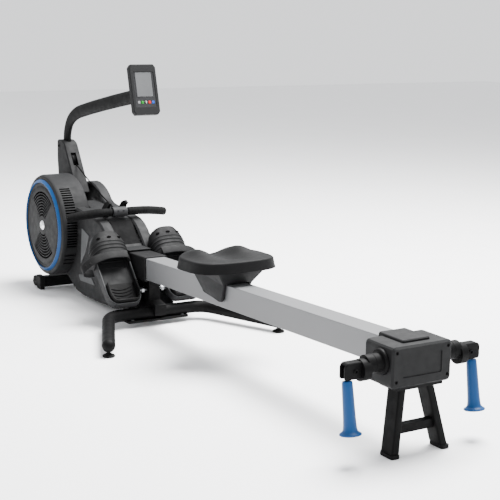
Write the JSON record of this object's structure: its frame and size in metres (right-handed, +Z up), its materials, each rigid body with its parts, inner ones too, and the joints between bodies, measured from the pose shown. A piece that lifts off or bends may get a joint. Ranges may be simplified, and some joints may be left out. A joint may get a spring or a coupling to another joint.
{
  "type": "rowing machine",
  "caption": "Rowing machine with a shrouded air fan, a padded seat rolling on an aluminium rail, strapped footrests, a cord handle, a console and rear pull handles.",
  "frame": {"origin": "middle of the machine's footprint, on the floor", "axes": "+X to the rear, away from the fan, +Y to the rower's right, +Z up"},
  "size_m": [2.598, 0.758, 0.9999],
  "materials": {
    "rail_aluminium": "satin anodised",
    "charcoal_plastic": "fine grained, matte",
    "blue_plastic": "smooth, matte",
    "black_steel": "satin powder coat",
    "black_plastic": "matte",
    "steel": "brushed",
    "grey_plastic": "matte",
    "screen": "grey liquid crystal window",
    "rubber": "matte moulded",
    "seat_foam": "matte moulded skin",
    "cord": "braided",
    "menu_key": "semi gloss",
    "start_key": "semi gloss",
    "arrow_key": "semi gloss",
    "stop_key": "semi gloss",
    "display_key": "semi gloss"
  },
  "bodies": {
    "frame": {"rail": "rail_aluminium", "rail_collar": "black_steel", "fan_housing": "charcoal_plastic", "fan_grille": "charcoal_plastic", "grille_ring": "blue_plastic", "hub_cap": "steel", "fan_bearing": "steel", "base_frame": "black_steel", "left_side_cover": "charcoal_plastic", "right_side_cover": "charcoal_plastic", "centre_cover": "charcoal_plastic", "mast": "charcoal_plastic", "front_stabilizer": "black_steel", "left_front_cap": "rubber", "right_front_cap": "rubber", "mid_stabilizer": "black_steel", "rear_housing": "charcoal_plastic", "left_boss": "black_steel", "right_boss": "black_steel", "rear_legs": "black_steel", "left_rear_foot": "rubber", "right_rear_foot": "rubber", "left_footplate": "charcoal_plastic", "right_footplate": "charcoal_plastic", "left_strap": "rubber", "right_strap": "rubber", "footrest_axle": "steel", "handle_hooks": "black_plastic", "handle_cord": "cord", "console_arm": "black_steel"},
    "fan": {"fan_wheel": "grey_plastic"},
    "cord_drum": {"cord_drum": "black_plastic"},
    "idler": {"idler_pulley": "steel"},
    "left_wheel": {"left_transport_wheel": "rubber"},
    "right_wheel": {"right_transport_wheel": "rubber"},
    "left_foot": {"left_level_foot": "rubber"},
    "right_foot": {"right_level_foot": "rubber"},
    "seat": {"seat_pad": "seat_foam", "seat_carriage": "charcoal_plastic"},
    "front_roller": {"front_roller": "rubber"},
    "rear_roller": {"rear_roller": "rubber"},
    "left_heel": {"left_heel_cup": "rubber"},
    "right_heel": {"right_heel_cup": "rubber"},
    "handle": {"handlebar": "black_steel", "left_bar_grip": "rubber", "right_bar_grip": "rubber", "bar_clamp": "grey_plastic"},
    "left_bracket": {"left_pulley_bracket": "black_steel"},
    "right_bracket": {"right_pulley_bracket": "black_steel"},
    "left_pulley": {"left_ski_pulley": "steel"},
    "right_pulley": {"right_ski_pulley": "steel"},
    "left_pull": {"left_ski_handle": "blue_plastic"},
    "right_pull": {"right_ski_handle": "blue_plastic"},
    "console": {"console_case": "charcoal_plastic", "console_screen": "screen"},
    "menu_key": {"menu_key": "menu_key"},
    "start_key": {"start_key": "start_key"},
    "arrow_key": {"arrow_key": "arrow_key"},
    "stop_key": {"stop_key": "stop_key"},
    "display_key": {"display_key": "display_key"}
  },
  "joints": [
    {"name": "fan_spin", "type": "hinge", "parent": "frame", "child": "fan", "pos_m": [-1.081, 0, 0.288], "axis": [0, 1, 0], "continuous": true},
    {"name": "cord_drum_spin", "type": "hinge", "parent": "frame", "child": "cord_drum", "pos_m": [-1.081, 0, 0.288], "axis": [0, 1, 0], "continuous": true},
    {"name": "idler_spin", "type": "hinge", "parent": "frame", "child": "idler", "pos_m": [-1.151, 0, 0.556], "axis": [0, 1, 0], "continuous": true},
    {"name": "left_wheel_spin", "type": "hinge", "parent": "frame", "child": "left_wheel", "pos_m": [-1.166, -0.173, 0.027], "axis": [0, 1, 0], "continuous": true},
    {"name": "left_foot_level", "type": "slide", "parent": "frame", "child": "left_foot", "axis": [0, 0, -1], "range_m": [0, 0.012]},
    {"name": "left_heel_adjust", "type": "slide", "parent": "frame", "child": "left_heel", "axis": [-0.6756, 0, 0.7373], "range_m": [0, 0.05]},
    {"name": "right_wheel_spin", "type": "hinge", "parent": "frame", "child": "right_wheel", "pos_m": [-1.166, 0.173, 0.027], "axis": [0, 1, 0], "continuous": true},
    {"name": "right_foot_level", "type": "slide", "parent": "frame", "child": "right_foot", "axis": [0, 0, -1], "range_m": [0, 0.012]},
    {"name": "right_heel_adjust", "type": "slide", "parent": "frame", "child": "right_heel", "axis": [-0.6756, 0, 0.7373], "range_m": [0, 0.05]},
    {"name": "seat_slide", "type": "slide", "parent": "frame", "child": "seat", "axis": [0.9995, 0, 0.032], "range_m": [-0.4, 0.79]},
    {"name": "front_roller_spin", "type": "hinge", "parent": "seat", "child": "front_roller", "pos_m": [0.17708, 0, 0.29371], "axis": [0, 1, 0], "continuous": true},
    {"name": "rear_roller_spin", "type": "hinge", "parent": "seat", "child": "rear_roller", "pos_m": [0.25704, 0, 0.29627], "axis": [0, 1, 0], "continuous": true},
    {"name": "handle_pull", "type": "slide", "parent": "frame", "child": "handle", "axis": [0.995, 0, 0.0995], "range_m": [0, 1.3]},
    {"name": "left_bracket_swing", "type": "hinge", "parent": "frame", "child": "left_bracket", "pos_m": [1.239, -0.186, 0.266], "axis": [0, 1, 0], "range_deg": [-90, 90]},
    {"name": "left_ski_pull", "type": "slide", "parent": "left_bracket", "child": "left_pull", "axis": [0, 0, -1], "range_m": [0, 0.05], "stiffness_N_per_m": 40, "springref_m": -0.15},
    {"name": "left_ski_pulley_spin", "type": "hinge", "parent": "left_bracket", "child": "left_pulley", "pos_m": [1.241, -0.202, 0.256], "axis": [1, 0, 0], "continuous": true},
    {"name": "right_bracket_swing", "type": "hinge", "parent": "frame", "child": "right_bracket", "pos_m": [1.239, 0.186, 0.266], "axis": [0, 1, 0], "range_deg": [-90, 90]},
    {"name": "right_ski_pull", "type": "slide", "parent": "right_bracket", "child": "right_pull", "axis": [0, 0, -1], "range_m": [0, 0.05], "stiffness_N_per_m": 40, "springref_m": -0.15},
    {"name": "right_ski_pulley_spin", "type": "hinge", "parent": "right_bracket", "child": "right_pulley", "pos_m": [1.241, 0.202, 0.256], "axis": [1, 0, 0], "continuous": true},
    {"name": "console_tilt", "type": "hinge", "parent": "frame", "child": "console", "pos_m": [-0.491, 0, 0.876], "axis": [0, 1, 0], "range_deg": [-15, 15]},
    {"name": "menu_press", "type": "slide", "parent": "console", "child": "menu_key", "axis": [-0.9659, 0, -0.2588], "range_m": [0, 0.0015], "stiffness_N_per_m": 400, "springref_m": -0.0006},
    {"name": "start_press", "type": "slide", "parent": "console", "child": "start_key", "axis": [-0.9659, 0, -0.2588], "range_m": [0, 0.0015], "stiffness_N_per_m": 400, "springref_m": -0.0006},
    {"name": "arrow_press", "type": "slide", "parent": "console", "child": "arrow_key", "axis": [-0.9659, 0, -0.2588], "range_m": [0, 0.0015], "stiffness_N_per_m": 400, "springref_m": -0.0006},
    {"name": "stop_press", "type": "slide", "parent": "console", "child": "stop_key", "axis": [-0.9659, 0, -0.2588], "range_m": [0, 0.0015], "stiffness_N_per_m": 400, "springref_m": -0.0006},
    {"name": "display_press", "type": "slide", "parent": "console", "child": "display_key", "axis": [-0.9659, 0, -0.2588], "range_m": [0, 0.0015], "stiffness_N_per_m": 400, "springref_m": -0.0006}
  ],
  "couplings": [
    {"joint": "cord_drum_spin", "follows": "handle_pull", "rad_per_m": 30.77},
    {"joint": "idler_spin", "follows": "handle_pull", "rad_per_m": 36.36},
    {"joint": "front_roller_spin", "follows": "seat_slide", "rad_per_m": 66.67},
    {"joint": "rear_roller_spin", "follows": "seat_slide", "rad_per_m": 66.67},
    {"joint": "left_ski_pulley_spin", "follows": "left_ski_pull", "rad_per_m": 60.61},
    {"joint": "right_ski_pulley_spin", "follows": "right_ski_pull", "rad_per_m": -60.61}
  ]
}
